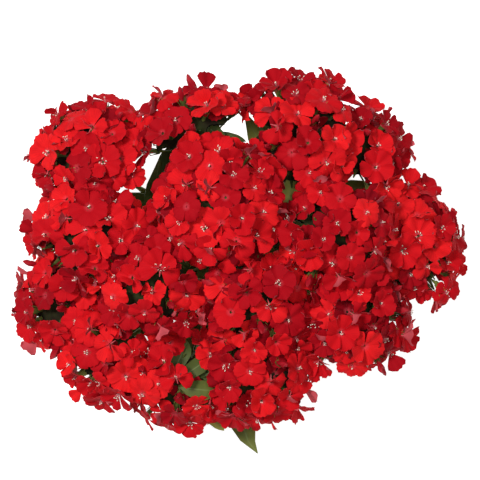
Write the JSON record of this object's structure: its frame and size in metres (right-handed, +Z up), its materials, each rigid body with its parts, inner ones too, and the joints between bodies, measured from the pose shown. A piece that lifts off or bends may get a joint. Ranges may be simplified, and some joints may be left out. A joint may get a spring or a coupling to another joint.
{
  "type": "potted dianthus plant",
  "caption": "Bushy dianthus in a plain round clay pot: leafy stems fan out of the soil and carry dense domed heads of toothed red florets.",
  "frame": {"origin": "centre of the pot's underside", "axes": "+Z up; the camera of the picture looks straight down, its right is +X and its top is +Y"},
  "size_m": [0.373, 0.3145, 0.3062],
  "materials": {
    "petal_red": "velvety petals, soft sheen",
    "leaf_green": "waxy leaves and stems, satin",
    "fired_clay": "matte unglazed terracotta",
    "potting_soil": "rough damp peat and bark"
  },
  "bodies": {
    "root": {"pot": "fired_clay", "soil": "potting_soil", "head_01": "petal_red", "head_02": "petal_red", "head_03": "petal_red", "head_04": "petal_red", "head_05": "petal_red", "head_06": "petal_red", "head_07": "petal_red", "head_08": "petal_red", "head_09": "petal_red", "head_10": "petal_red", "head_11": "petal_red", "head_12": "petal_red", "head_13": "petal_red", "head_14": "petal_red", "head_15": "petal_red", "stem_01": "leaf_green", "stem_02": "leaf_green", "stem_03": "leaf_green", "stem_04": "leaf_green", "stem_05": "leaf_green", "stem_06": "leaf_green", "stem_07": "leaf_green", "stem_08": "leaf_green", "stem_09": "leaf_green", "stem_10": "leaf_green", "stem_11": "leaf_green", "stem_12": "leaf_green", "stem_13": "leaf_green", "stem_14": "leaf_green", "stem_15": "leaf_green"}
  },
  "joints": []
}
